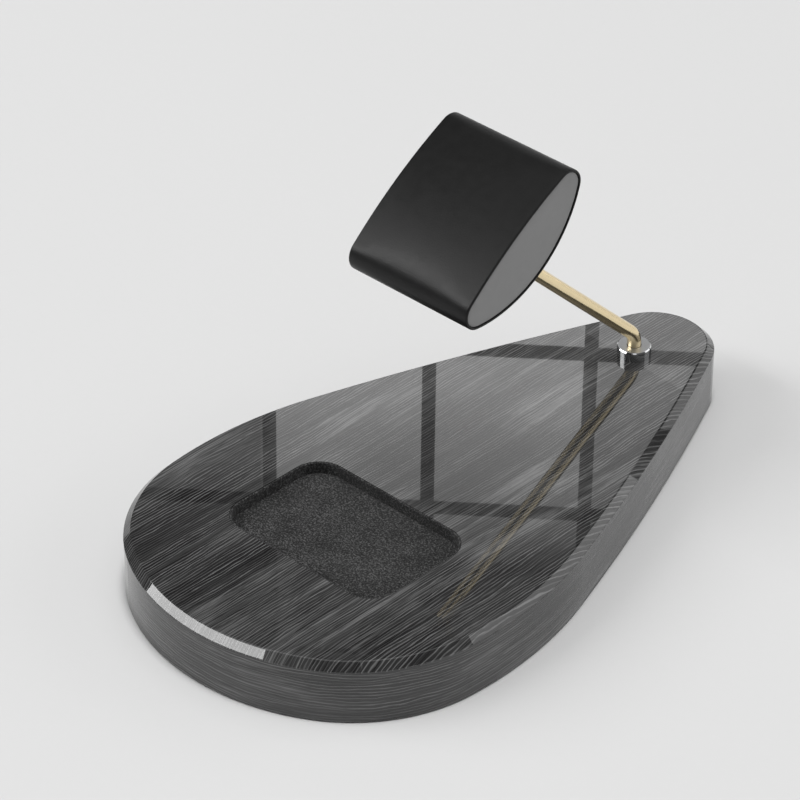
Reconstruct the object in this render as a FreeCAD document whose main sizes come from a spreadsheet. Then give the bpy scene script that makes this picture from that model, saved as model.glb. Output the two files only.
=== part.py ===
import FreeCAD, Part
import Sketcher
import math
import os

# Watch stand: an egg-shaped veneered base with a felt-lined tray, and a bent
# brass rod that leans forward and holds a padded leather cushion high above
# the middle of the base.
# Frame: -Y is the wide end with the tray, +Y the narrow end with the rod,
# +Z up, origin on the table under the middle of the base. Millimetres.

doc = FreeCAD.newDocument("watch_stand")
sheet = doc.addObject("Spreadsheet::Sheet", "Sizes")
row_count = 0


def size(alias, value):
    """Put one driving dimension in the sheet, under a plain word."""
    global row_count
    row_count += 1
    sheet.set("A%d" % row_count, alias)
    sheet.set("B%d" % row_count, str(value))
    sheet.setAlias("B%d" % row_count, alias)


# Base plate, seen from above
size("base_length", 200.5)
size("base_width", 116)
size("widest_from_front", 57.8)
size("front_radius", 66.6)
size("shoulder_radius", 48.3)
size("flank_radius", 121)
size("side_radius", 890)
size("tip_radius", 17.2)

# Base plate, from the table up
size("base_height", 18.8)
size("floor_gap", 0.4)
size("veneer", 0.5)
size("edge_chamfer", 2.1)
size("chamfer_top_round", 0.6)
size("chamfer_low_round", 0.25)
size("skin_drop", 2.4)
size("pad_thickness", 0.8)
size("pad_margin", 4)

# Tray
size("tray_across", 58.7)
size("tray_along", 39.2)
size("tray_corner", 8.5)
size("tray_from_front", 57.2)
size("tray_depth", 3.4)
size("wall_felt", 0.6)
size("floor_felt", 0.8)
size("tray_card", 1)
size("felt_below_edge", 0.1)

# Ferrule, bush and the hardware under the base
size("stem_from_tip", 26.2)
size("ferrule_diameter", 9.8)
size("ferrule_height", 3.1)
size("ferrule_edge", 0.35)
size("bush_diameter", 6)
size("bush_stand", 0.8)
size("swivel_clearance", 0.05)
size("well_diameter", 13)
size("well_depth", 8)
size("washer_diameter", 9)
size("washer_thickness", 0.8)
size("spring_diameter", 7)
size("spring_thickness", 0.4)
size("spring_rise", 0.35)
size("nut_across_flats", 5.5)
size("nut_hex", 2.4)
size("nut_collar", 1.5)
size("nut_collar_diameter", 5)

# Rod
size("rod_diameter", 4)
size("stud_diameter", 3)
size("stud_below_nut", 0.8)
size("bend_height", 25.3)
size("bend_radius", 6)
size("rod_rise", 43.3)
size("rod_lean", 13)
size("rod_reach", 97)
size("rod_end_chamfer", 0.4)
size("flat_length", 4.5)
size("flat_depth", 0.6)
size("ring_section", 0.6)
size("ring_from_end", 6.6)
size("ring_clearance", 0.01)

# Cushion
size("cushion_width", 43)
size("cushion_height", 51)
size("crown_radius", 150)
size("crown_rise", 0.8)
size("corner_radius", 5)
size("back_radius", 37)
size("cushion_tilt", 34.6)
size("cushion_from_front", 99.6)
size("cushion_level", 100.3)
size("leather", 1.2)
size("leather_edge", 0.9)
size("foam_level", 2.6)
size("board_thickness", 1.4)
size("facing_thickness", 0.5)
size("facing_inset", 0.15)
size("facing_gap", 0.3)
size("socket_diameter", 5.4)
size("socket_sink", 0.8)
size("socket_floor", 0.8)
size("socket_clearance", 0.05)
size("end_clearance", 0.2)
doc.recompute()


# Lengths closer than this count as equal
same = 1e-4


def val(alias):
    return float(getattr(sheet, alias))


def cell(alias):
    return "Sizes." + alias


def bind(obj, prop, expression):
    obj.setExpression(prop, expression)


def body_named(name):
    body = doc.addObject("PartDesign::Body", name)
    body.Label = name
    return body


def origin_plane(body, role):
    for feature in body.Origin.OriginFeatures:
        if feature.Role == role:
            return feature
    raise RuntimeError("no plane " + role)


def sketch_on(body, role, name, level="0"):
    """A sketch on one of the body's origin planes, lifted by an expression."""
    sketch = body.newObject("Sketcher::SketchObject", name)
    sketch.AttachmentSupport = [(origin_plane(body, role), "")]
    sketch.MapMode = "FlatFace"
    bind(sketch, ".AttachmentOffset.Base.z", level)
    return sketch


def dimension(sketch, kind, where, value, expression):
    """A dimension that starts at its value and then follows the sheet."""
    index = sketch.addConstraint(Sketcher.Constraint(kind, *where, value))
    sketch.setExpression("Constraints[%d]" % index, expression)


def pad(body, sketch, name, length, midplane=False, back=False):
    feature = body.newObject("PartDesign::Pad", name)
    feature.Profile = sketch
    feature.Length = 1
    feature.Reversed = back
    if midplane:
        feature.SideType = "Symmetric"
    bind(feature, "Length", length)
    body.Tip = feature
    doc.recompute()
    return feature


def pocket(body, sketch, name, length, back=False, midplane=False):
    """Cut a sketch out of the body and make sure that it did cut."""
    before = body.Shape.Volume
    feature = body.newObject("PartDesign::Pocket", name)
    feature.Profile = sketch
    feature.Length = 1
    feature.Reversed = back
    if midplane:
        feature.SideType = "Symmetric"
    bind(feature, "Length", length)
    body.Tip = feature
    doc.recompute()
    if body.Shape.Volume > before - 0.01:
        raise RuntimeError(name + " cut nothing")
    return feature


def edges_at(shape, height):
    """Names of the edges that lie flat at one height."""
    names = []
    for number, edge in enumerate(shape.Edges, 1):
        box = edge.BoundBox
        if abs(box.ZMin - height) < same and abs(box.ZMax - height) < same:
            names.append("Edge%d" % number)
    return names


def round_edges(body, base, names, name, radius):
    feature = body.newObject("PartDesign::Fillet", name)
    feature.Base = (base, names)
    feature.Radius = 0.1
    bind(feature, "Radius", radius)
    body.Tip = feature
    doc.recompute()
    return feature


def chamfer_edges(body, base, names, name, width):
    feature = body.newObject("PartDesign::Chamfer", name)
    feature.Base = (base, names)
    feature.Size = 0.1
    bind(feature, "Size", width)
    body.Tip = feature
    doc.recompute()
    return feature


# Outline of the base: five arcs a side, each tangent to the next
def circle_meeting(ca, ra, cb, rb, side):
    """Centre at distance ra from ca and rb from cb, on the given side."""
    dx = cb[0] - ca[0]
    dy = cb[1] - ca[1]
    gap = math.hypot(dx, dy)
    along = (ra * ra - rb * rb + gap * gap) / (2 * gap)
    off = side * math.sqrt(ra * ra - along * along)
    return (ca[0] + (along * dx - off * dy) / gap, ca[1] + (along * dy + off * dx) / gap)


def outline_arcs(inset):
    """Centres, radii and end angles of the right-hand arcs, front to tip."""
    front_y = -val("base_length") / 2
    r1 = val("front_radius")
    r2 = val("shoulder_radius")
    r3 = val("flank_radius")
    r4 = val("side_radius")
    r5 = val("tip_radius")
    c1 = (0.0, front_y + r1)
    c3 = (val("base_width") / 2 - r3, front_y + val("widest_from_front"))
    c5 = (0.0, -front_y - r5)
    c2 = circle_meeting(c1, r1 - r2, c3, r3 - r2, 1)
    c4 = circle_meeting(c3, r4 - r3, c5, r4 - r5, 1)
    centres = [c1, c2, c3, c4, c5]
    radii = [r1 - inset, r2 - inset, r3 - inset, r4 - inset, r5 - inset]
    joins = []
    for small, large in ((c2, c1), (c2, c3), (c3, c4), (c5, c4)):
        joins.append(math.atan2(small[1] - large[1], small[0] - large[0]))
    return centres, radii, joins


def add_outline(sketch, inset_value, inset):
    """Draw the closed outline, drawn in by inset, and tie it to the sheet."""
    centres, radii, joins = outline_arcs(inset_value)
    up = FreeCAD.Vector(0, 0, 1)
    first = sketch.GeometryCount

    def arc(centre, radius, start, end):
        circle = Part.Circle(FreeCAD.Vector(centre[0], centre[1], 0), up, radius)
        sketch.addGeometry(Part.ArcOfCircle(circle, start, end), False)

    half = math.pi
    arc(centres[0], radii[0], -half - joins[0], joins[0])
    for step in (1, 2, 3):
        arc(centres[step], radii[step], joins[step - 1], joins[step])
    arc(centres[4], radii[4], joins[3], half - joins[3])
    for step in (3, 2, 1):
        left = (-centres[step][0], centres[step][1])
        arc(left, radii[step], half - joins[step], half - joins[step - 1])
    arcs = sketch.GeometryCount - first
    for step in range(arcs):
        here = first + step
        after = first + (step + 1) % arcs
        sketch.addConstraint(Sketcher.Constraint("Tangent", here, 2, after, 1))
    names = ["front_radius", "shoulder_radius", "flank_radius", "side_radius", "tip_radius"]
    for step, alias in enumerate(names):
        expression = "%s - %s" % (cell(alias), inset)
        dimension(sketch, "Radius", (first + step,), radii[step], expression)
    for step in (1, 2, 3):
        sketch.addConstraint(Sketcher.Constraint("Equal", first + step, first + arcs - step))
    for step in (0, 4):
        sketch.addConstraint(Sketcher.Constraint("PointOnObject", first + step, 3, -2))
    dimension(sketch, "DistanceY", (first, 3, -1, 1), -centres[0][1],
              "Sizes.base_length / 2 - Sizes.front_radius")
    dimension(sketch, "DistanceY", (-1, 1, first + 4, 3), centres[4][1],
              "Sizes.base_length / 2 - Sizes.tip_radius")
    dimension(sketch, "DistanceX", (first + 2, 3, -1, 1), -centres[2][0],
              "Sizes.flank_radius - Sizes.base_width / 2")
    dimension(sketch, "DistanceY", (first + 2, 3, -1, 1), -centres[2][1],
              "Sizes.base_length / 2 - Sizes.widest_from_front")
    sketch.addConstraint(Sketcher.Constraint("Symmetric", first + 2, 3, first + 6, 3, -2))


def add_circle(sketch, radius_value, radius, y_value=0.0, y=None):
    """A circle on the sketch's vertical axis."""
    circle = Part.Circle(FreeCAD.Vector(0, y_value, 0), FreeCAD.Vector(0, 0, 1), radius_value)
    index = sketch.addGeometry(circle, False)
    dimension(sketch, "Radius", (index,), radius_value, radius)
    if y is None:
        sketch.addConstraint(Sketcher.Constraint("Coincident", index, 3, -1, 1))
    else:
        sketch.addConstraint(Sketcher.Constraint("PointOnObject", index, 3, -2))
        dimension(sketch, "DistanceY", (-1, 1, index, 3), y_value, y)


def add_rounded_rectangle(sketch, grow_value, grow):
    """The tray's outline, grown outwards by a felt thickness or drawn in."""
    half_x = val("tray_across") / 2 + grow_value
    half_y = val("tray_along") / 2 + grow_value
    radius = val("tray_corner") + grow_value
    middle = val("tray_from_front") - val("base_length") / 2
    up = FreeCAD.Vector(0, 0, 1)
    first = sketch.GeometryCount
    corners = ((1, 1, 0), (-1, 1, 1), (-1, -1, 2), (1, -1, 3))
    for sx, sy, quarter in corners:
        centre = FreeCAD.Vector(sx * (half_x - radius), middle + sy * (half_y - radius), 0)
        start = quarter * math.pi / 2
        circle = Part.Circle(centre, up, radius)
        sketch.addGeometry(Part.ArcOfCircle(circle, start, start + math.pi / 2), False)
    for quarter in range(4):
        a = sketch.getPoint(first + quarter, 2)
        b = sketch.getPoint(first + (quarter + 1) % 4, 1)
        sketch.addGeometry(Part.LineSegment(a, b), False)
    for quarter in range(4):
        line = first + 4 + quarter
        after = first + (quarter + 1) % 4
        sketch.addConstraint(Sketcher.Constraint("Tangent", first + quarter, 2, line, 1))
        sketch.addConstraint(Sketcher.Constraint("Tangent", line, 2, after, 1))
        direction = "Horizontal" if quarter % 2 == 0 else "Vertical"
        sketch.addConstraint(Sketcher.Constraint(direction, line))
    for quarter in (1, 2, 3):
        sketch.addConstraint(Sketcher.Constraint("Equal", first, first + quarter))
    dimension(sketch, "Radius", (first,), radius, "Sizes.tray_corner + " + grow)
    for where in ((-1, 1, first, 3), (first + 1, 3, -1, 1)):
        dimension(sketch, "DistanceX", where, half_x - radius,
                  "Sizes.tray_across / 2 - Sizes.tray_corner")
    dimension(sketch, "DistanceY", (first + 3, 3, first, 3), 2 * (half_y - radius),
              "Sizes.tray_along - 2 * Sizes.tray_corner")
    dimension(sketch, "DistanceY", (first, 3, -1, 1), -(middle + half_y - radius),
              "Sizes.base_length / 2 - Sizes.tray_from_front"
              " - Sizes.tray_along / 2 + Sizes.tray_corner")


stem_y = "Sizes.base_length / 2 - Sizes.stem_from_tip"
stem_y_value = val("base_length") / 2 - val("stem_from_tip")


def bore(body, name, diameter, level, depth, back):
    """A round hole in the base on the rod's axis."""
    sketch = sketch_on(body, "XY_Plane", name + "_circle", level)
    add_circle(sketch, val(diameter) / 2, cell(diameter) + " / 2", stem_y_value, stem_y)
    doc.recompute()
    return pocket(body, sketch, name, depth, back)


# Chamfer of the core, a veneer's thickness inside the outer one
inner_chamfer = "Sizes.edge_chamfer - (2 - sqrt(2)) * Sizes.veneer"


# Core of the base
def base_core():
    body = body_named("base_core")
    sketch = sketch_on(body, "XY_Plane", "core_outline", cell("floor_gap"))
    add_outline(sketch, val("veneer"), cell("veneer"))
    doc.recompute()
    block = pad(body, sketch, "core_block",
                "Sizes.base_height - Sizes.veneer - Sizes.floor_gap")
    top = val("base_height") - val("veneer")
    chamfer_edges(body, block, edges_at(block.Shape, top), "core_chamfer", inner_chamfer)
    well = sketch_on(body, "XY_Plane", "tray_well_outline", "Sizes.base_height - Sizes.veneer")
    add_rounded_rectangle(well, 0.0, "0")
    doc.recompute()
    pocket(body, well, "tray_well", "Sizes.tray_depth + Sizes.floor_felt + Sizes.tray_card"
           " - Sizes.veneer")
    bore(body, "bush_bore", "bush_diameter", "Sizes.base_height - Sizes.veneer",
         cell("base_height"), False)
    bore(body, "nut_well", "well_diameter", cell("floor_gap"), cell("well_depth"), True)
    recess = sketch_on(body, "XY_Plane", "pad_recess_outline", cell("floor_gap"))
    add_outline(recess, val("pad_margin"), cell("pad_margin"))
    doc.recompute()
    pocket(body, recess, "pad_recess", "Sizes.pad_thickness - Sizes.floor_gap", True)
    return body


# Veneer pressed over the top and its chamfered edge
def top_veneer():
    low = "Sizes.base_height - Sizes.skin_drop"
    blank = body_named("skin_blank")
    sketch = sketch_on(blank, "XY_Plane", "skin_outline", low)
    add_outline(sketch, 0.0, "0")
    doc.recompute()
    block = pad(blank, sketch, "skin_block", cell("skin_drop"))
    top = val("base_height")
    crease = top - val("edge_chamfer")
    slope = chamfer_edges(blank, block, edges_at(block.Shape, top), "skin_chamfer",
                          cell("edge_chamfer"))
    eased = round_edges(blank, slope, edges_at(slope.Shape, top), "skin_top_round",
                        cell("chamfer_top_round"))
    round_edges(blank, eased, edges_at(eased.Shape, crease), "skin_low_round",
                cell("chamfer_low_round"))
    opening = sketch_on(blank, "XY_Plane", "tray_opening_outline", cell("base_height"))
    add_rounded_rectangle(opening, 0.0, "0")
    doc.recompute()
    pocket(blank, opening, "tray_opening", cell("skin_drop"))
    bore(blank, "bush_hole", "bush_diameter", cell("base_height"), cell("skin_drop"), False)

    plug = body_named("skin_plug")
    sketch = sketch_on(plug, "XY_Plane", "plug_outline", low)
    add_outline(sketch, val("veneer"), cell("veneer"))
    doc.recompute()
    block = pad(plug, sketch, "plug_block", "Sizes.skin_drop - Sizes.veneer")
    ceiling = top - val("veneer")
    chamfer_edges(plug, block, edges_at(block.Shape, ceiling), "plug_chamfer", inner_chamfer)

    skin = doc.addObject("Part::Cut", "top_veneer")
    skin.Label = "top_veneer"
    skin.Base = blank
    skin.Tool = plug
    doc.recompute()
    return skin


# Veneer band round the upright edge
def edge_veneer():
    body = body_named("edge_veneer")
    sketch = sketch_on(body, "XY_Plane", "band_outline", cell("floor_gap"))
    add_outline(sketch, 0.0, "0")
    add_outline(sketch, val("veneer"), cell("veneer"))
    doc.recompute()
    pad(body, sketch, "band", "Sizes.base_height - Sizes.skin_drop - Sizes.floor_gap")
    return body


# Felt pad under the base, on which the stand rests
def underside_pad():
    body = body_named("underside_pad")
    sketch = sketch_on(body, "XY_Plane", "pad_outline")
    add_outline(sketch, val("pad_margin"), cell("pad_margin"))
    doc.recompute()
    pad(body, sketch, "pad_sheet", cell("pad_thickness"))
    return body


# Tray: card, felt floor and felt wall
def tray_pieces():
    floor_top = "Sizes.base_height - Sizes.tray_depth"
    card_bottom = floor_top + " - Sizes.floor_felt - Sizes.tray_card"

    card = body_named("tray_card")
    sketch = sketch_on(card, "XY_Plane", "card_outline", card_bottom)
    add_rounded_rectangle(sketch, 0.0, "0")
    doc.recompute()
    pad(card, sketch, "card_sheet", cell("tray_card"))

    floor = body_named("tray_floor_felt")
    sketch = sketch_on(floor, "XY_Plane", "floor_outline", floor_top + " - Sizes.floor_felt")
    add_rounded_rectangle(sketch, -val("wall_felt"), "(-1) * Sizes.wall_felt")
    doc.recompute()
    pad(floor, sketch, "floor_sheet", cell("floor_felt"))

    wall = body_named("tray_wall_felt")
    sketch = sketch_on(wall, "XY_Plane", "wall_outline", floor_top + " - Sizes.floor_felt")
    add_rounded_rectangle(sketch, 0.0, "0")
    add_rounded_rectangle(sketch, -val("wall_felt"), "(-1) * Sizes.wall_felt")
    doc.recompute()
    pad(wall, sketch, "wall_strip",
        "Sizes.tray_depth + Sizes.floor_felt - Sizes.felt_below_edge")
    return [card, floor, wall]


def turned(name, profile, place):
    """A turned piece: a closed profile of (radius, height) expressions."""
    body = body_named(name)
    sketch = sketch_on(body, "XZ_Plane", name + "_profile")
    count = len(profile)
    for index in range(count):
        a = profile[index][:2]
        b = profile[(index + 1) % count][:2]
        line = Part.LineSegment(FreeCAD.Vector(a[0], a[1], 0), FreeCAD.Vector(b[0], b[1], 0))
        sketch.addGeometry(line, False)
    for index in range(count):
        after = (index + 1) % count
        sketch.addConstraint(Sketcher.Constraint("Coincident", index, 2, after, 1))
    for index, place_now in enumerate(profile):
        dimension(sketch, "DistanceX", (-1, 1, index, 1), place_now[0], place_now[2])
        dimension(sketch, "DistanceY", (-1, 1, index, 1), place_now[1], place_now[3])
    doc.recompute()
    feature = body.newObject("PartDesign::Revolution", name + "_turning")
    feature.Profile = sketch
    feature.ReferenceAxis = (sketch, ["V_Axis"])
    feature.Angle = 360
    body.Tip = feature
    body.Placement = place
    doc.recompute()
    return body


def corner(radius, height):
    """One profile corner: its two values now, and the two expressions."""
    return (worked_out(radius), worked_out(height), radius, height)


def worked_out(expression):
    """The number that an expression on the sheet's own cells gives."""
    sheet.set("D1", "=" + expression.replace("Sizes.", ""))
    sheet.recompute()
    answer = float(sheet.get("D1"))
    sheet.clear("D1")
    return answer


# Frames for placing pieces
def stem_frame():
    return FreeCAD.Placement(FreeCAD.Vector(0, stem_y_value, 0), FreeCAD.Rotation())


def arm_frame():
    turn = FreeCAD.Rotation(FreeCAD.Vector(0, 0, 1), -val("rod_lean"))
    return FreeCAD.Placement(FreeCAD.Vector(0, stem_y_value, 0), turn)


def rod_frame(distance):
    """Frame on the sloping leg, +Z along it, this far past the bend's corner."""
    tip = FreeCAD.Rotation(FreeCAD.Vector(1, 0, 0), 90 - val("rod_rise"))
    slope = FreeCAD.Placement(FreeCAD.Vector(0, 0, val("bend_height")), tip)
    ahead = FreeCAD.Placement(FreeCAD.Vector(0, 0, distance), FreeCAD.Rotation())
    return arm_frame().multiply(slope).multiply(ahead)


def cushion_frame():
    y = val("cushion_from_front") - val("base_length") / 2
    tilt = FreeCAD.Rotation(FreeCAD.Vector(1, 0, 0), val("cushion_tilt"))
    return FreeCAD.Placement(FreeCAD.Vector(0, y, val("cushion_level")), tilt)


# Bush pressed into the core, and the ferrule over it
def bush_and_ferrule():
    inner = "Sizes.stud_diameter / 2 + Sizes.swivel_clearance"
    outer = "Sizes.bush_diameter / 2"
    low = "Sizes.floor_gap + Sizes.well_depth"
    high = "Sizes.base_height + Sizes.bush_stand"
    bush = turned("stem_bush", [corner(inner, low), corner(outer, low),
                                corner(outer, high), corner(inner, high)], stem_frame())
    hole = "Sizes.rod_diameter / 2 + 2 * Sizes.swivel_clearance"
    rim = "Sizes.ferrule_diameter / 2"
    base = "Sizes.base_height"
    top = "Sizes.base_height + Sizes.ferrule_height"
    edge = "Sizes.ferrule_edge"
    profile = [
        corner(outer, base),
        corner(rim, base),
        corner(rim, top + " - " + edge),
        corner(rim + " - " + edge, top),
        corner(hole, top),
        corner(hole, high),
        corner(outer, high),
    ]
    ferrule = turned("ferrule", profile, stem_frame())
    return [bush, ferrule]


# Washer, conical spring washer and lock nut in the well under the base
def hardware():
    ceiling = "(Sizes.floor_gap + Sizes.well_depth)"
    bore_radius = "(Sizes.stud_diameter / 2 + 2 * Sizes.swivel_clearance)"
    washer_low = ceiling + " - Sizes.washer_thickness"
    outer = "Sizes.washer_diameter / 2"
    washer = turned("plain_washer", [corner(bore_radius, washer_low), corner(outer, washer_low),
                                     corner(outer, ceiling), corner(bore_radius, ceiling)],
                    stem_frame())
    top = washer_low + " - Sizes.swivel_clearance"
    rim = "Sizes.spring_diameter / 2"
    profile = [
        corner(bore_radius, top + " - Sizes.spring_rise - Sizes.spring_thickness"),
        corner(rim, top + " - Sizes.spring_thickness"),
        corner(rim, top),
        corner(bore_radius, top + " - Sizes.spring_rise"),
    ]
    spring = turned("spring_washer", profile, stem_frame())

    nut = body_named("lock_nut")
    nut_top = washer_low + " - Sizes.swivel_clearance - Sizes.spring_rise"
    nut_top = nut_top + " - Sizes.spring_thickness"
    sketch = sketch_on(nut, "XY_Plane", "nut_hexagon", nut_top)
    radius = val("nut_across_flats") / math.sqrt(3)
    points = []
    for step in range(6):
        angle = math.radians(60 * step)
        points.append(FreeCAD.Vector(radius * math.cos(angle), radius * math.sin(angle), 0))
    for step in range(6):
        sketch.addGeometry(Part.LineSegment(points[step], points[(step + 1) % 6]), False)
    guide = sketch.addGeometry(
        Part.Circle(FreeCAD.Vector(0, 0, 0), FreeCAD.Vector(0, 0, 1), radius), True)
    for step in range(6):
        after = (step + 1) % 6
        sketch.addConstraint(Sketcher.Constraint("Coincident", step, 2, after, 1))
        sketch.addConstraint(Sketcher.Constraint("PointOnObject", step, 1, guide))
    for step in range(5):
        sketch.addConstraint(Sketcher.Constraint("Equal", step, step + 1))
    sketch.addConstraint(Sketcher.Constraint("Coincident", guide, 3, -1, 1))
    sketch.addConstraint(Sketcher.Constraint("PointOnObject", 0, 1, -1))
    dimension(sketch, "Radius", (guide,), radius, "Sizes.nut_across_flats / sqrt(3)")
    doc.recompute()
    pad(nut, sketch, "nut_body", cell("nut_hex"), back=True)
    collar = sketch_on(nut, "XY_Plane", "nut_collar_circle", nut_top + " - Sizes.nut_hex")
    add_circle(collar, val("nut_collar_diameter") / 2, "Sizes.nut_collar_diameter / 2")
    doc.recompute()
    pad(nut, collar, "nut_collar_ring", cell("nut_collar"), back=True)
    hole = sketch_on(nut, "XY_Plane", "nut_bore_circle", nut_top)
    add_circle(hole, val("stud_diameter") / 2, "Sizes.stud_diameter / 2")
    doc.recompute()
    pocket(nut, hole, "nut_bore", "Sizes.nut_hex + Sizes.nut_collar")
    nut.Placement = stem_frame()
    doc.recompute()
    return [washer, spring, nut]


# Bent rod: threaded stud, upright leg, bend and sloping leg
def stem_rod():
    blank = body_named("rod_blank")
    shoulder = "Sizes.base_height + Sizes.bush_stand"
    tangent = "Sizes.bend_radius * tan((90 - Sizes.rod_rise) / 2 * 1 deg)"
    path = sketch_on(blank, "YZ_Plane", "rod_path")
    turn = math.radians(90 - val("rod_rise"))
    reach = val("bend_radius") * math.tan(turn / 2)
    foot = FreeCAD.Vector(0, worked_out(shoulder), 0)
    start = FreeCAD.Vector(0, val("bend_height") - reach, 0)
    ahead = FreeCAD.Vector(-math.sin(turn), math.cos(turn), 0)
    knee = FreeCAD.Vector(0, val("bend_height"), 0)
    finish = knee + ahead * reach
    end = knee + ahead * val("rod_reach")
    centre = start - FreeCAD.Vector(val("bend_radius"), 0, 0)
    path.addGeometry(Part.LineSegment(foot, start), False)
    circle = Part.Circle(centre, FreeCAD.Vector(0, 0, 1), val("bend_radius"))
    path.addGeometry(Part.ArcOfCircle(circle, 0, turn), False)
    path.addGeometry(Part.LineSegment(finish, end), False)
    path.addConstraint(Sketcher.Constraint("PointOnObject", 0, 1, -2))
    path.addConstraint(Sketcher.Constraint("Vertical", 0))
    path.addConstraint(Sketcher.Constraint("Tangent", 0, 2, 1, 1))
    path.addConstraint(Sketcher.Constraint("Tangent", 1, 2, 2, 1))
    dimension(path, "DistanceY", (-1, 1, 0, 1), foot.y, shoulder)
    dimension(path, "DistanceY", (-1, 1, 0, 2), start.y, "Sizes.bend_height - " + tangent)
    dimension(path, "Radius", (1,), val("bend_radius"), cell("bend_radius"))
    dimension(path, "DistanceX", (2, 2, -1, 1), -end.x,
              "Sizes.rod_reach * cos(Sizes.rod_rise * 1 deg)")
    dimension(path, "DistanceY", (-1, 1, 2, 2), end.y,
              "Sizes.bend_height + Sizes.rod_reach * sin(Sizes.rod_rise * 1 deg)")
    section = sketch_on(blank, "XY_Plane", "rod_section", shoulder)
    add_circle(section, val("rod_diameter") / 2, "Sizes.rod_diameter / 2")
    doc.recompute()
    pipe = blank.newObject("PartDesign::AdditivePipe", "rod_pipe")
    pipe.Profile = section
    pipe.Spine = (path, ["Edge1", "Edge2", "Edge3"])
    blank.Tip = pipe
    doc.recompute()
    top = blank.Shape.BoundBox.ZMax
    girth = math.pi * val("rod_diameter")
    far = []
    for number, edge in enumerate(pipe.Shape.Edges, 1):
        if abs(edge.Length - girth) < same and edge.CenterOfMass.z > top - val("rod_diameter"):
            far.append("Edge%d" % number)
    chamfer_edges(blank, pipe, far, "rod_end", cell("rod_end_chamfer"))
    stud = sketch_on(blank, "XY_Plane", "stud_circle", shoulder)
    add_circle(stud, val("stud_diameter") / 2, "Sizes.stud_diameter / 2")
    doc.recompute()
    nut_low = ("Sizes.floor_gap + Sizes.well_depth - Sizes.washer_thickness"
               " - Sizes.swivel_clearance - Sizes.spring_rise - Sizes.spring_thickness"
               " - Sizes.nut_hex - Sizes.nut_collar")
    pad(blank, stud, "stud", "%s - (%s) + Sizes.stud_below_nut" % (shoulder, nut_low), back=True)
    blank.Placement = arm_frame()

    groove = doc.addObject("Part::Torus", "ring_groove")
    bind(groove, "Radius1", "Sizes.rod_diameter / 2 + Sizes.socket_clearance"
         " - Sizes.ring_clearance - Sizes.ring_section / 2")
    bind(groove, "Radius2", "Sizes.ring_section / 2")
    groove.Placement = rod_frame(val("rod_reach") - val("ring_from_end"))
    key = doc.addObject("Part::Box", "flat_space")
    bind(key, "Length", cell("rod_diameter"))
    bind(key, "Width", cell("rod_diameter"))
    bind(key, "Height", "2 * Sizes.flat_length")
    radius = val("rod_diameter") / 2
    beside = FreeCAD.Placement(
        FreeCAD.Vector(-radius, radius - val("flat_depth"), 0), FreeCAD.Rotation())
    key.Placement = rod_frame(val("rod_reach") - val("flat_length")).multiply(beside)
    tools = doc.addObject("Part::MultiFuse", "rod_cuts")
    tools.Shapes = [groove, key]
    rod = doc.addObject("Part::Cut", "stem_rod")
    rod.Label = "stem_rod"
    rod.Base = blank
    rod.Tool = tools
    doc.recompute()

    ring = doc.addObject("Part::Torus", "grip_ring")
    ring.Label = "grip_ring"
    bind(ring, "Radius1", "Sizes.rod_diameter / 2 + Sizes.socket_clearance"
         " - Sizes.ring_clearance - Sizes.ring_section / 2")
    bind(ring, "Radius2", "Sizes.ring_section / 2")
    ring.Placement = rod_frame(val("rod_reach") - val("ring_from_end"))
    doc.recompute()
    return [rod, ring]


# Socket in the cushion that slides over the rod's end
def socket_mouth():
    """Distance along the sloping leg to the socket's mouth."""
    outward = rod_frame(0).Rotation.multVec(FreeCAD.Vector(0, 0, 1))
    inverse = cushion_frame().inverse()
    origin = inverse.multVec(rod_frame(0).Base)
    heading = cushion_frame().Rotation.inverted().multVec(outward)
    level = origin.z - back_centre()
    a = heading.y ** 2 + heading.z ** 2
    b = 2 * (origin.y * heading.y + level * heading.z)
    c = origin.y ** 2 + level ** 2 - val("back_radius") ** 2
    surface = (-b - math.sqrt(b * b - 4 * a * c)) / (2 * a)
    return surface + val("socket_sink")


socket_length = "Sizes.rod_in_socket + Sizes.end_clearance + Sizes.socket_floor"


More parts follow.
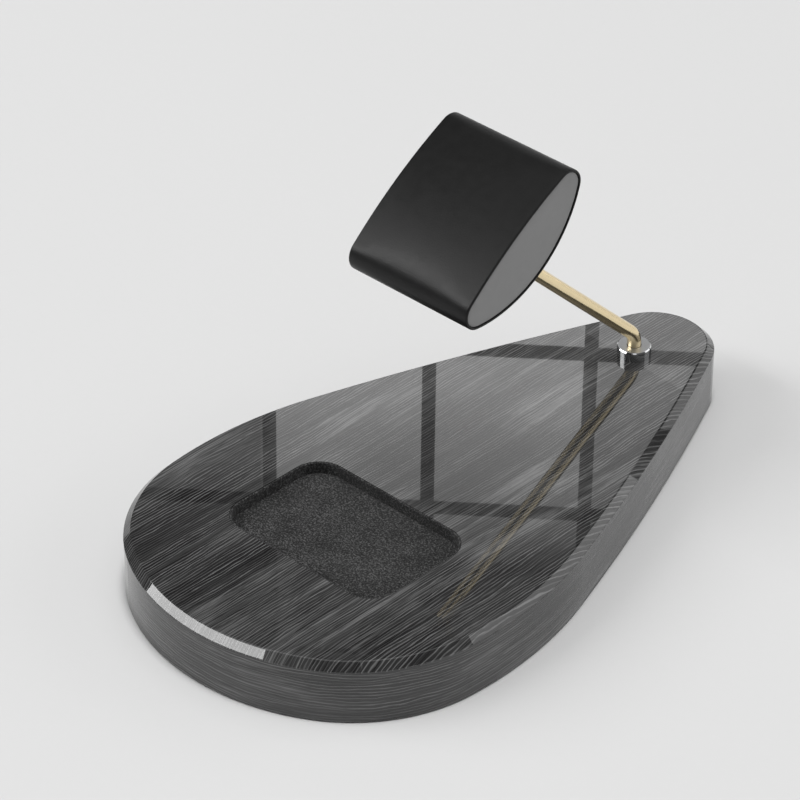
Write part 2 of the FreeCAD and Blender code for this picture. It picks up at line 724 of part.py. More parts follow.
def rod_socket():
    mouth = socket_mouth()
    size("rod_in_socket", round(val("rod_reach") - mouth, 4))
    doc.recompute()
    body = body_named("rod_socket")
    outer = sketch_on(body, "XY_Plane", "socket_circle")
    add_circle(outer, val("socket_diameter") / 2, "Sizes.socket_diameter / 2")
    doc.recompute()
    pad(body, outer, "socket_tube", socket_length)
    round_part = sketch_on(body, "XY_Plane", "socket_bore_circle")
    add_circle(round_part, val("rod_diameter") / 2 + val("socket_clearance"),
               "Sizes.rod_diameter / 2 + Sizes.socket_clearance")
    doc.recompute()
    round_length = "Sizes.rod_in_socket - Sizes.flat_length"
    pocket(body, round_part, "socket_bore", round_length, True)
    keyed = sketch_on(body, "XY_Plane", "socket_key_outline", round_length)
    radius = val("rod_diameter") / 2 + val("socket_clearance")
    level = val("rod_diameter") / 2 - val("flat_depth") + val("socket_clearance")
    angle = math.asin(level / radius)
    circle = Part.Circle(FreeCAD.Vector(0, 0, 0), FreeCAD.Vector(0, 0, 1), radius)
    keyed.addGeometry(Part.ArcOfCircle(circle, math.pi - angle, 2 * math.pi + angle), False)
    a = keyed.getPoint(0, 2)
    b = keyed.getPoint(0, 1)
    keyed.addGeometry(Part.LineSegment(a, b), False)
    keyed.addConstraint(Sketcher.Constraint("Coincident", 0, 2, 1, 1))
    keyed.addConstraint(Sketcher.Constraint("Coincident", 1, 2, 0, 1))
    keyed.addConstraint(Sketcher.Constraint("Coincident", 0, 3, -1, 1))
    keyed.addConstraint(Sketcher.Constraint("Horizontal", 1))
    dimension(keyed, "Radius", (0,), radius, "Sizes.rod_diameter / 2 + Sizes.socket_clearance")
    dimension(keyed, "DistanceY", (-1, 1, 1, 1), level,
              "Sizes.rod_diameter / 2 - Sizes.flat_depth + Sizes.socket_clearance")
    doc.recompute()
    pocket(body, keyed, "socket_key", "Sizes.flat_length + Sizes.end_clearance", True)
    body.Placement = rod_frame(mouth)
    doc.recompute()
    return body, mouth


# Section of the cushion: crowned face, two corners and a round back
def corner_height():
    """Height of the corner centres below the middle of the face."""
    centre = val("crown_rise") - val("crown_radius")
    reach = val("crown_radius") - val("corner_radius")
    across = val("cushion_height") / 2 - val("corner_radius")
    return centre + math.sqrt(reach ** 2 - across ** 2)


def back_centre():
    """Height of the round back's centre."""
    across = val("cushion_height") / 2 - val("corner_radius")
    reach = val("back_radius") - val("corner_radius")
    return corner_height() + math.sqrt(reach ** 2 - across ** 2)


def add_section(sketch, inset_value, inset):
    """The closed section, drawn in by inset all round."""
    up = FreeCAD.Vector(0, 0, 1)
    across = val("cushion_height") / 2 - val("corner_radius")
    corner_z = corner_height()
    crown_z = val("crown_rise") - val("crown_radius")
    back_z = back_centre()
    lean = math.atan2(corner_z - crown_z, across)
    fall = math.atan2(corner_z - back_z, across)
    first = sketch.GeometryCount

    def arc(y, z, radius, start, end):
        circle = Part.Circle(FreeCAD.Vector(y, z, 0), up, radius)
        sketch.addGeometry(Part.ArcOfCircle(circle, start, end), False)

    half = math.pi
    arc(0, crown_z, val("crown_radius") - inset_value, lean, half - lean)
    arc(-across, corner_z, val("corner_radius") - inset_value, half - lean, half - fall)
    arc(0, back_z, val("back_radius") - inset_value, half - fall, 2 * half + fall)
    arc(across, corner_z, val("corner_radius") - inset_value, fall, lean)
    for step in range(4):
        here = first + step
        after = first + (step + 1) % 4
        sketch.addConstraint(Sketcher.Constraint("Tangent", here, 2, after, 1))
    radii = (("crown_radius", 0), ("corner_radius", 1), ("back_radius", 2))
    for alias, step in radii:
        dimension(sketch, "Radius", (first + step,), val(alias) - inset_value,
                  "%s - %s" % (cell(alias), inset))
    sketch.addConstraint(Sketcher.Constraint("Equal", first + 1, first + 3))
    for step in (0, 2):
        sketch.addConstraint(Sketcher.Constraint("PointOnObject", first + step, 3, -2))
    dimension(sketch, "DistanceY", (first, 3, -1, 1), -crown_z,
              "Sizes.crown_radius - Sizes.crown_rise")
    dimension(sketch, "DistanceX", (-1, 1, first + 3, 3), across,
              "Sizes.cushion_height / 2 - Sizes.corner_radius")


def section_pad(name, inset_value, inset, start, length, midplane):
    body = body_named(name)
    sketch = sketch_on(body, "YZ_Plane", name + "_section", start)
    add_section(sketch, inset_value, inset)
    doc.recompute()
    pad(body, sketch, name + "_block", length, midplane)
    return body


def cut_slab(body, name, above):
    """Remove everything on one side of the foam's glue line."""
    level = -val("foam_level")
    far = val("cushion_height")
    sketch = sketch_on(body, "YZ_Plane", name + "_outline")
    low, high = (level, far) if above else (-far, level)
    corners = [FreeCAD.Vector(-far, low, 0), FreeCAD.Vector(far, low, 0),
               FreeCAD.Vector(far, high, 0), FreeCAD.Vector(-far, high, 0)]
    for step in range(4):
        sketch.addGeometry(Part.LineSegment(corners[step], corners[(step + 1) % 4]), False)
    for step in range(4):
        sketch.addConstraint(Sketcher.Constraint("Coincident", step, 2, (step + 1) % 4, 1))
        direction = "Horizontal" if step % 2 == 0 else "Vertical"
        sketch.addConstraint(Sketcher.Constraint(direction, step))
    edge = 0 if above else 2
    dimension(sketch, "DistanceY", (edge, 1, -1, 1), -level, cell("foam_level"))
    dimension(sketch, "DistanceX", (0, 1, -1, 1), far, cell("cushion_height"))
    dimension(sketch, "DistanceX", (-1, 1, 0, 2), far, cell("cushion_height"))
    other = 2 if above else 0
    where = (-1, 1, other, 1) if above else (other, 1, -1, 1)
    dimension(sketch, "DistanceY", where, far, cell("cushion_height"))
    doc.recompute()
    pocket(body, sketch, name, cell("cushion_width"), midplane=True)


def drilled(body, name, tool):
    """The body with the socket's space drilled out, under its own name."""
    cut = doc.addObject("Part::Cut", name)
    cut.Label = name
    cut.Base = body
    cut.Tool = tool
    doc.recompute()
    return cut


def cushion_pieces():
    socket, mouth = rod_socket()
    frame = cushion_frame()
    between = ("Sizes.cushion_width - 2 * (Sizes.facing_gap + Sizes.facing_thickness"
               " + Sizes.board_thickness)")

    space = doc.addObject("Part::Cylinder", "socket_space")
    bind(space, "Radius", "Sizes.socket_diameter / 2")
    bind(space, "Height", socket_length)
    space.Placement = rod_frame(mouth)
    way_in = doc.addObject("Part::Cylinder", "socket_way_in")
    bind(way_in, "Radius", "Sizes.socket_diameter / 2")
    bind(way_in, "Height", socket_length + " + Sizes.socket_diameter")
    way_in.Placement = rod_frame(mouth - val("socket_diameter"))

    core_block = section_pad("core_section", val("leather"), cell("leather"), "0", between, True)
    cut_slab(core_block, "core_flat", True)
    core_block.Placement = frame
    core = drilled(core_block, "cushion_core", space)

    foam = section_pad("face_foam", val("leather"), cell("leather"), "0", between, True)
    cut_slab(foam, "foam_flat", False)
    foam.Placement = frame

    tube = section_pad("wrap_tube", 0.0, "0", "0", cell("cushion_width"), True)
    ends = []
    half = val("cushion_width") / 2
    for number, edge in enumerate(tube.Tip.Shape.Edges, 1):
        box = edge.BoundBox
        if abs(abs(box.XMin) - half) < same and box.XLength < same:
            ends.append("Edge%d" % number)
    round_edges(tube, tube.Tip, ends, "wrap_edge", cell("leather_edge"))
    inside = sketch_on(tube, "YZ_Plane", "wrap_inside_section")
    add_section(inside, val("leather"), cell("leather"))
    doc.recompute()
    pocket(tube, inside, "wrap_inside", "2 * Sizes.cushion_width", midplane=True)
    tube.Placement = frame
    wrap = drilled(tube, "leather_wrap", way_in)

    pieces = [socket, core, foam, wrap]
    for side, sign in (("left", -1), ("right", 1)):
        inner = "%d * (Sizes.cushion_width / 2 - Sizes.facing_gap" % sign
        inner = inner + " - Sizes.facing_thickness - Sizes.board_thickness)"
        board = body_named("end_board_" + side)
        sketch = sketch_on(board, "YZ_Plane", "board_section_" + side, inner)
        add_section(sketch, val("leather"), cell("leather"))
        doc.recompute()
        pad(board, sketch, "board_sheet_" + side, cell("board_thickness"), back=sign < 0)
        board.Placement = frame
        pieces.append(board)
        outer = "%d * (Sizes.cushion_width / 2 - Sizes.facing_gap" % sign
        outer = outer + " - Sizes.facing_thickness)"
        facing = body_named("end_facing_" + side)
        sketch = sketch_on(facing, "YZ_Plane", "facing_section_" + side, outer)
        inset = "(Sizes.leather + Sizes.facing_inset)"
        add_section(sketch, val("leather") + val("facing_inset"), inset)
        doc.recompute()
        pad(facing, sketch, "facing_sheet_" + side, cell("facing_thickness"), back=sign < 0)
        facing.Placement = frame
        pieces.append(facing)
    return pieces


# Build, check and write every piece
pieces = [base_core(), top_veneer(), edge_veneer(), underside_pad()]
pieces += tray_pieces()
pieces += bush_and_ferrule()
pieces += hardware()
pieces += stem_rod()
pieces += cushion_pieces()
doc.recompute()

for obj in doc.Objects:
    if "Invalid" in obj.State or "Error" in obj.State:
        raise RuntimeError("%s did not build: %s" % (obj.Name, obj.State))

for piece in pieces:
    shape = piece.Shape
    if shape.isNull() or not shape.isValid():
        raise RuntimeError(piece.Label + " has no sound solid")
    if len(shape.Solids) != 1:
        raise RuntimeError("%s holds %d solids" % (piece.Label, len(shape.Solids)))

os.makedirs("parts", exist_ok=True)
for piece in pieces:
    box = piece.Shape.optimalBoundingBox(True, False)
    piece.Shape.exportStep("parts/%s.step" % piece.Label)
    print("%-18s %9.1f mm3  x %.2f..%.2f  y %.2f..%.2f  z %.2f..%.2f" % (
        piece.Label, piece.Shape.Volume, box.XMin, box.XMax, box.YMin, box.YMax,
        box.ZMin, box.ZMax))
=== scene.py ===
"""Watch stand: an egg-shaped base in grey-stained veneer under gloss lacquer, with a
felt-lined tray, and a bent brass rod that holds a leather cushion above it.

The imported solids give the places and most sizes. This script gives them their finish, and
models the cushion's leather, its end panels and the felt as pieces of their own.
"""

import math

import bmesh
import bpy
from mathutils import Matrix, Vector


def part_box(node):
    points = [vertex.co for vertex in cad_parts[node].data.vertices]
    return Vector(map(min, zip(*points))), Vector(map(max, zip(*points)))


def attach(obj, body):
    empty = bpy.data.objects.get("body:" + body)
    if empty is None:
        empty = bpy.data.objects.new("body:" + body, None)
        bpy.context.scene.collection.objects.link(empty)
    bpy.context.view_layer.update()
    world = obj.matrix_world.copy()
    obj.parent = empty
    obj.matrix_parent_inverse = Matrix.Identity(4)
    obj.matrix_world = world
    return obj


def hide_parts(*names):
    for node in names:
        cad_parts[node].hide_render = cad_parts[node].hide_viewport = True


bl_info = {
    "name": "Watch Stand",
    "version": (1, 0, 0),
    "blender": (4, 5, 0),
    "location": "3D View > Sidebar > Watch Stand",
    "description": "Dresses the watch stand in veneer, lacquer, felt, leather and metal",
    "category": "Object",
}

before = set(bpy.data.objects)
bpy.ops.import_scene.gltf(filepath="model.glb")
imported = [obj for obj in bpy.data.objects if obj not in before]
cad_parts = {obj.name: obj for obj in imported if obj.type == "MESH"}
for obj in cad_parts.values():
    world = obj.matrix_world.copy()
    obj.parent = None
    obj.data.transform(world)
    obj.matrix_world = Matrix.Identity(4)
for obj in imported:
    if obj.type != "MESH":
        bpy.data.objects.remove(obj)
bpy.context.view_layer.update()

MM = 0.001

# Lengths closer than this count as equal
SAME = 1e-6

# Radius of the tray's corners, and the way that the rod's sloping leg runs to the cushion
TRAY_CORNER = 8.5 * MM
ROD_RUN = Vector((-0.1637, -0.7091, 0.6858))

# The stain: level in the grain's pattern, the wood that gets it, and a share of its colour
STAIN = ((0.40, "dark", 1.0), (0.47, "mid", 0.6), (0.55, "mid", 1.05), (0.68, "light", 1.0))
# Layers of the grain: size across in line pitches, run along in line lengths, number of
# finer noises in it and their weight
GRAIN = {
    "lines": (1.0, 1.0, 2.0, 0.55),
    "growth": (5.0, 1.6, 2.0, 0.5),
    "figure": (34.0, 1.3, 2.0, 0.5),
    "pores": (0.8, 0.2, 1.0, 0.5),
}
# Unit of the wave pattern whose crests are pale hairlines, in the same measures and with
# about three waves to a unit, and size across and along of the drift that bends the grain
HAIRLINE_WAVE = (8.0, 0.5)
GRAIN_DRIFT = (26 * MM, 70 * MM)

# Sizes in millimetres: fibres of the board, worn patches in the felt, mottling of the hide
BOARD_FIBRE = 0.5
WORN_PATCH = 9
HIDE_MOTTLE = 3

# The chrome's unpolished top: roughness that the lathe's cut adds, the height over which it
# sets in, and how far below the ferrule's top it is fully there
SATIN_ROUGHNESS = 0.33
SATIN_BLEND = 0.02 * MM
SATIN_DEPTH = 0.05 * MM

# Steps round the cushion's section, over the outside and the inside of half its sleeve, and
# round the sleeve's lip
FACE_STEPS, CORNER_STEPS, BACK_STEPS = 30, 12, 34
OUTER_STEPS, INNER_STEPS, LIP_STEPS = 9, 3, 5
# The leather's pared end, inside: distance from the end, and what is missing of its thickness
PARED_EDGE = ((0.02 * MM, 0.12 * MM), (0.1 * MM, 0.03 * MM), (0.25 * MM, 0.0), (0.66 * MM, 0.0))
PARED_DEPTH = 0.7 * MM
INNER_START = 1.2 * MM

# The leather swells above a level and off its ends, each over a soft stretch
SWELL_LEVEL, SWELL_STRETCH = -6 * MM, 5 * MM
HELD_END, END_STRETCH = 1.5 * MM, 6 * MM
# The cloth works on a copy so many times as large, over so many steps, and has failed where
# it moved less than this
SWELL_SCALE = 10.0
SWELL_STEPS = 20
LEAST_SWELL = 0.05 * MM

# The end panels: how far they stop short of the cushion's outline, their rounded edge as
# depth and inset, and the steps of width and rise that crown them
PANEL_INSET = 0.87 * MM
PANEL_EDGE = ((0.2 * MM, 0.0), (0.06 * MM, 0.06 * MM), (0.0, 0.2 * MM))
PANEL_CROWN = ((0.8 * MM, 0.02 * MM), (1.3 * MM, 0.03 * MM))

# The camera: azimuth and elevation in degrees, the point it looks at, and its distance
VIEW = (135.948, 34.507)
VIEW_TARGET = (-50.563 * MM, 30.517 * MM, 0.0)
VIEW_DISTANCE = 1153.68 * MM

# Half the paper floor's width in metres, and the size of its pulp's clouds in millimetres
FLOOR_HALF = 6.0
FLOOR_PULP = 2.5

# Name, the two ends as azimuth and elevation, breadth in degrees, distance, brightness, and
# whether glossy surfaces mirror it
SOFTBOXES = [
    ("key_softbox", (-113, 20), (-171, 46), 15, 3.0, 7.0, True),
    ("side_softbox", (16.5, 24), (58, 24), 24, 3.0, 1.4, True),
    ("right_softbox", (58, 17), (106, 15), 26, 3.0, 1.2, True),
    ("backdrop_left", (-60, 7), (0, 7), 14, 2.0, 0.9, True),
    ("backdrop_right", (0, 7), (60, 7), 14, 2.0, 0.9, True),
    ("overhead_softbox", (-90, 58), (90, 58), 56, 3.0, 0.8, True),
    ("overhead_fill", (90, 82), (-90, 88), 11, 4.0, 50.0, False),
]

# The window's plane, which leans very slightly: the way to it, and the way along its sill
WINDOW_FACING = (-0.64446, 0.76464, 0.00181)
WINDOW_LEVEL = (0.76461, 0.64441, 0.01001)
# Places of its upright bars along it, and heights of its level bars
BAR_PLACES = [place * MM for place in (-335, -213.5, -92.1, 29.1, 237)]
BAR_HEIGHTS = [height * MM for height in (900.6, 1049, 1197.4, 1346)]
# Share of the way up, or across, and the share of the panes' light there
WINDOW_FADE = ((0.0, 1.0), (0.42, 0.96), (0.51, 0.78), (0.62, 0.56), (0.70, 0.30), (0.80, 0.06))
COLUMN_FADE = ((0.2, 0.3), (0.22, 1.0), (0.63, 1.0), (0.65, 0.62))
# Corners of the pale slope outside, and the gap that keeps it and the bars off the glass
SLOPE = [(place * MM, height * MM) for place, height in (
    (-335, 795.7), (237, 1166.1), (237, 795.7))]
GLASS_GAP = 2 * MM


def linear(hex_text):
    """Scene-linear red, green and blue of an sRGB hex colour."""
    parts = [int(hex_text[i:i + 2], 16) / 255 for i in (1, 3, 5)]
    return tuple(c / 12.92 if c <= 0.04045 else ((c + 0.055) / 1.055) ** 2.4 for c in parts)


def shaded(colour, share=1.0):
    """A colour for a shader's socket, darker or lighter by a share, with its alpha."""
    return tuple(min(1.0, share * part) for part in colour) + (1.0,)


def per_mm(*sizes):
    """Scale of a Mapping node that makes one unit of a pattern this many millimetres, one
    size for all axes or one for each."""
    if len(sizes) == 1:
        sizes *= 3
    return tuple(1 / (size * MM) for size in sizes)


def colour(name, hex_text, description):
    return bpy.props.FloatVectorProperty(
        name=name, description=description, subtype="COLOR", size=3,
        min=0.0, max=1.0, default=linear(hex_text))


def length(name, value, description):
    return bpy.props.FloatProperty(
        name=name, description=description, default=value * MM, min=0.0,
        subtype="DISTANCE", unit="LENGTH", precision=5)


def turn(name, degrees, description):
    return bpy.props.FloatProperty(
        name=name, description=description, default=math.radians(degrees),
        subtype="ANGLE", unit="ROTATION")


def plain(name, value, description):
    return bpy.props.FloatProperty(name=name, description=description, default=value, min=0.0)


class VeneerSettings(bpy.types.PropertyGroup):
    dark: colour("Dark wood", "#131313", "Stain gathered in the late wood")
    mid: colour("Middle wood", "#2F2F2F", "Grey stain between the lines")
    light: colour("Light wood", "#6B6B6B", "Pale fibres that took little stain")
    line_pitch: length("Line pitch", 0.36, "Size of the finest grain lines across")
    line_length: length("Line length", 30, "How far one fine line runs before it fades")
    sway: length("Sway", 6, "How far the lines wander to the side over the base")
    lacquer_index: plain("Lacquer index", 1.6, "Refractive index of the gloss lacquer")
    sealed_board: colour("Sealed board", "#3A3733", "Bare rim of the core under the base")


class FeltSettings(bpy.types.PropertyGroup):
    shade: colour("Felt", "#212121", "Charcoal wool felt")
    fleck: colour("Fleck", "#525252", "Paler fibres in the felt")
    fibre: length("Fibre clump", 0.5, "Size of the mottling; single fibres are too fine to show")
    lining_round: length("Lining round", 0.25, "Rounding of the lining's cut edge")


class MetalSettings(bpy.types.PropertyGroup):
    brass: colour("Rod brass", "#F9E6BC", "Pale polished brass under clear lacquer")
    turned_brass: colour("Turned brass", "#D0A95E", "Machined brass of the bush and socket")
    chrome: colour("Chrome", "#D2D3D4", "Chromium plate, polished round a satin top")
    zinc: colour("Zinc plate", "#A8ABAE", "Clear zinc on the nut and washers")


class CushionSettings(bpy.types.PropertyGroup):
    width: length("Width", 43, "From one end of the leather to the other")
    height: length("Height", 51, "Across the padded face")
    crown_radius: length("Crown radius", 150, "Radius of the padded face")
    crown_rise: length("Crown rise", 0.8, "How far the face stands proud in its middle")
    corner_radius: length("Corner radius", 5, "Radius where the face meets the back")
    back_radius: length("Back radius", 37, "Radius of the round back")
    tilt: turn("Tilt", 34.6, "How far the face leans back from level")
    leather: length("Leather", 1.2, "Thickness of the leather and its lining")
    skived: length("Skived edge", 0.75, "Thickness to which the leather is pared at its ends")
    lip_radius: length("Lip radius", 0.45, "Rounding of the leather's turned edge")
    swell: length("Swell", 0.6, "Most that the foam lifts the leather over the face")
    socket_hole: length("Socket hole", 5.4, "Bore in the leather for the rod's socket")
    leather_shade: colour("Leather", "#101010", "Black leather with a satin finish")
    end_shade: colour("End panel", "#878787", "Mid grey smooth leather on the ends")


class StageSettings(bpy.types.PropertyGroup):
    floor: colour("Floor", "#CBCBCB", "Pale seamless paper")
    focal: plain("Focal length", 180.0, "Lens in millimetres on a 36 mm sensor")
    surroundings: plain("Surroundings", 0.12, "Brightness of the dim room round the stand")
    pane_light: plain("Pane light", 2.2, "Brightness of the window's panes low down")
    bar_light: plain("Bar light", 0.35, "Brightness of the window's bars low down")
    slope_light: plain("Slope light", 0.3, "Brightness that a pale slope adds to the panes")
    window_distance: length("Window distance", 1600, "From the stand to the window's glass")
    upright_bar: length("Upright bar", 10.5, "Width of the window's upright bars")
    level_bar: length("Level bar", 12.5, "Height of the window's level bars")


GROUPS = {
    "veneer": VeneerSettings,
    "felt": FeltSettings,
    "metal": MetalSettings,
    "cushion": CushionSettings,
    "stage": StageSettings,
}


def settings(group):
    return getattr(bpy.context.scene, "watch_stand_" + group)


def add_node(tree, kind, sockets=None, stops=(), **choices):
    """Add one shader node with its settings, its sockets' values or links, and its stops."""
    node = tree.nodes.new("ShaderNode" + kind)
    for key, value in choices.items():
        setattr(node, key, value)
    for key, value in (sockets or {}).items():
        named = [part for part in node.inputs if part.enabled and part.name == key]
        socket = named[0] if named else node.inputs[key]
        if isinstance(value, bpy.types.Node):
            value = [part for part in value.outputs if part.enabled][0]
        if isinstance(value, bpy.types.NodeSocket):
            tree.links.new(value, socket)
        else:
            socket.default_value = value
    for index, (position, shade) in enumerate(stops):
        if index == len(node.color_ramp.elements):
            node.color_ramp.elements.new(1.0)
        node.color_ramp.elements[index].position = position
        node.color_ramp.elements[index].color = shade
    return node


def new_material(name):
    """An empty material, the tree to fill and the object coordinates to read."""
    material = bpy.data.materials.new(name)
    material.use_nodes = True
    tree = material.node_tree
    tree.nodes.clear()
    return material, tree, add_node(tree, "TexCoord").outputs["Object"]


def along_grain(across, pitch, run):
    """Scale of a Mapping node that stretches a pattern: a pitch across, a run along."""
    return tuple(1 / (pitch if axis == across else run) for axis in range(3))


# Veneer: slices of open-grain wood, stained grey, under a thick clear gloss lacquer that
# fills the pores, so the grain shows as fine pale and dark lines beneath a mirror surface.
# The wood hardly shines of itself, since the lacquer wets it. The grain runs square to the
# axis that is given as across
def veneer_material(name, across):
    sizes = settings("veneer")
    pitch, run = sizes.line_pitch, sizes.line_length
    material, tree, place = new_material(name)
    drift = add_node(tree, "TexNoise", {
        "Vector": add_node(tree, "Mapping", {
            "Vector": place, "Scale": along_grain(across, *GRAIN_DRIFT)}),
        "Scale": 1.0, "Detail": 3.0, "Roughness": 0.45})
    bent = add_node(tree, "VectorMath", {
        0: drift.outputs["Color"],
        1: tuple(sizes.sway if axis == across else 0.0 for axis in range(3)),
        2: place}, operation="MULTIPLY_ADD")
    grain = {layer: add_node(tree, "TexNoise", {
        "Vector": add_node(tree, "Mapping", {
            "Vector": bent, "Scale": along_grain(across, wide * pitch, long * run)}),
        "Scale": 1.0, "Detail": detail, "Roughness": weight})
        for layer, (wide, long, detail, weight) in GRAIN.items()}
    bands = add_node(tree, "Mix", {"Factor": 0.25, "A": grain["lines"], "B": grain["growth"]})
    tone = add_node(tree, "Mix", {"Factor": 0.45, "A": bands, "B": grain["figure"]})
    stain = add_node(tree, "ValToRGB", {"Fac": tone}, stops=[
        (level, shaded(getattr(sizes, tint), share)) for level, tint, share in STAIN])

    # Pale hairlines, about 0.9 mm apart, where a wandering wave is at its crest. The finest
    # ones of the real wood don't show at this distance and are left out
    wide, long = HAIRLINE_WAVE
    wave = add_node(tree, "TexWave", {
        "Vector": add_node(tree, "Mapping", {
            "Vector": bent, "Scale": along_grain(across, wide * pitch, long * run)}),
        "Scale": 1.0, "Distortion": 5.0, "Detail": 2.0, "Detail Scale": 1.2,
        "Detail Roughness": 0.6}, bands_direction="XYZ"[across])
    crest = add_node(tree, "MapRange", {
        "Value": wave.outputs["Fac"], "From Min": 0.72, "From Max": 0.98, "To Min": 0.0,
        "To Max": 0.85})
    strength = add_node(tree, "MapRange", {
        "Value": grain["growth"], "From Min": 0.38, "From Max": 0.60, "To Min": 0.25,
        "To Max": 1.0})
    hairline = add_node(tree, "Math", {0: crest, 1: strength}, operation="MULTIPLY")
    lined = add_node(tree, "Mix", {
        "Factor": hairline, "A": stain, "B": shaded(sizes.light)}, data_type="RGBA")
    pore = add_node(tree, "MapRange", {
        "Value": grain["pores"], "From Min": 0.56, "From Max": 0.70, "To Min": 0.0,
        "To Max": 0.6})
    wood = add_node(tree, "Mix", {
        "Factor": pore, "A": lined, "B": shaded(sizes.dark)}, data_type="RGBA")
    relief = add_node(tree, "Bump", {
        "Height": grain["lines"], "Strength": 0.2, "Distance": 0.02 * MM})
    shader = add_node(tree, "BsdfPrincipled", {
        "Base Color": wood, "Normal": relief, "Roughness": 0.6, "IOR": 1.5,
        "Specular IOR Level": 0.08, "Coat Weight": 1.0, "Coat Roughness": 0.01,
        "Coat IOR": sizes.lacquer_index})
    add_node(tree, "OutputMaterial", {"Surface": shader})
    return material


# Fibreboard: pressed fibres, sealed dark where they show, flat and dry to the eye
def fibreboard_material():
    sizes = settings("veneer")
    material, tree, place = new_material("sealed_fibreboard")
    fibres = add_node(tree, "TexNoise", {
        "Vector": add_node(tree, "Mapping", {"Vector": place, "Scale": per_mm(BOARD_FIBRE)}),
        "Scale": 1.0, "Detail": 3.0})
    tone = add_node(tree, "ValToRGB", {"Fac": fibres}, stops=[
        (0.3, shaded(sizes.sealed_board)), (0.75, shaded(sizes.sealed_board, 1.6))])
    grit = add_node(tree, "Bump", {"Height": fibres, "Strength": 0.3, "Distance": 0.05 * MM})
    shader = add_node(tree, "BsdfPrincipled", {
        "Base Color": tone, "Normal": grit, "Roughness": 0.8})
    add_node(tree, "OutputMaterial", {"Surface": shader})
    return material


# Felt: pressed charcoal wool, a dull mottled nap that catches a little light at its edges
def felt_material():
    sizes = settings("felt")
    material, tree, place = new_material("charcoal_wool_felt")
    fibre = sizes.fibre / MM
    clumps = add_node(tree, "TexNoise", {
        "Vector": add_node(tree, "Mapping", {"Vector": place, "Scale": per_mm(fibre)}),
        "Scale": 1.0, "Detail": 4.0, "Roughness": 0.72})
    worn = add_node(tree, "TexNoise", {
        "Vector": add_node(tree, "Mapping", {"Vector": place, "Scale": per_mm(WORN_PATCH)}),
        "Scale": 1.0, "Detail": 2.0})
    blend = add_node(tree, "Mix", {"Factor": 0.12, "A": clumps, "B": worn})
    tone = add_node(tree, "ValToRGB", {"Fac": blend}, stops=[
        (0.40, shaded(sizes.shade, 0.25)), (0.50, shaded(sizes.shade)),
        (0.62, shaded(sizes.fleck))])
    nap = add_node(tree, "Bump", {"Height": clumps, "Strength": 0.8, "Distance": 0.15 * MM})
    shader = add_node(tree, "BsdfPrincipled", {
        "Base Color": tone, "Normal": nap, "Roughness": 0.95, "Specular IOR Level": 0.12,
        "Sheen Weight": 0.1, "Sheen Roughness": 0.6})
    add_node(tree, "OutputMaterial", {"Surface": shader})
    return material


# Polished metal: the lathe or the die leaves faint marks, so the mirror is very slightly
# broken, and the shade drifts a little with them. Above the satin level, which is past all
# of the stand unless it is given, the lathe's cut is left unpolished and spreads what it
# mirrors
def metal_material(name, shade, roughness, mark_mm, satin_level=10.0):
    material, tree, place = new_material(name)
    marks = add_node(tree, "TexNoise", {
        "Vector": add_node(tree, "Mapping", {"Vector": place, "Scale": per_mm(mark_mm)}),
        "Scale": 1.0, "Detail": 3.0})
    tone = add_node(tree, "ValToRGB", {"Fac": marks}, stops=[
        (0.3, shaded(shade, 0.94)), (0.7, shaded(shade))])
    haze = add_node(tree, "MapRange", {
        "Value": marks, "From Min": 0.3, "From Max": 0.7, "To Min": roughness,
        "To Max": 1.4 * roughness})
    height = add_node(tree, "SeparateXYZ", {"Vector": place}).outputs["Z"]
    satin = add_node(tree, "MapRange", {
        "Value": height, "From Min": satin_level - SATIN_BLEND, "From Max": satin_level,
        "To Min": 0.0, "To Max": SATIN_ROUGHNESS})
    finish = add_node(tree, "Math", {0: haze, 1: satin}, operation="ADD")
    shader = add_node(tree, "BsdfPrincipled", {
        "Base Color": tone, "Metallic": 1.0, "Roughness": finish})
    add_node(tree, "OutputMaterial", {"Surface": shader})
    return material


# Leather: smooth full-grain hide with a satin finish; its pores are fine and shallow, and
# drawn a little coarser than life so that they show
def leather_material(name, shade, mottle, pore_mm, depth_mm, roughness, shine):
    material, tree, place = new_material(name)
    cells = add_node(tree, "TexVoronoi", {
        "Vector": add_node(tree, "Mapping", {"Vector": place, "Scale": per_mm(pore_mm)}),
        "Scale": 1.0}, feature="DISTANCE_TO_EDGE")
    pores = add_node(tree, "MapRange", {"Value": cells, "From Min": 0.0, "From Max": 0.35})
    hide = add_node(tree, "TexNoise", {
        "Vector": add_node(tree, "Mapping", {"Vector": place, "Scale": per_mm(HIDE_MOTTLE)}),
        "Scale": 1.0, "Detail": 4.0})
    height = add_node(tree, "Mix", {"Factor": 0.4, "A": pores, "B": hide})
    tone = add_node(tree, "ValToRGB", {"Fac": hide}, stops=[
        (0.25, shaded(shade, 1 - mottle)), (0.75, shaded(shade, 1 + mottle))])
    grain = add_node(tree, "Bump", {
        "Height": height, "Strength": 0.5, "Distance": depth_mm * MM})
    gloss = add_node(tree, "MapRange", {
        "Value": hide, "From Min": 0.3, "From Max": 0.7, "To Min": roughness,
        "To Max": 1.15 * roughness})
    shader = add_node(tree, "BsdfPrincipled", {
        "Base Color": tone, "Normal": grain, "Roughness": gloss,
        "Specular IOR Level": shine})
    add_node(tree, "OutputMaterial", {"Surface": shader})
    return material


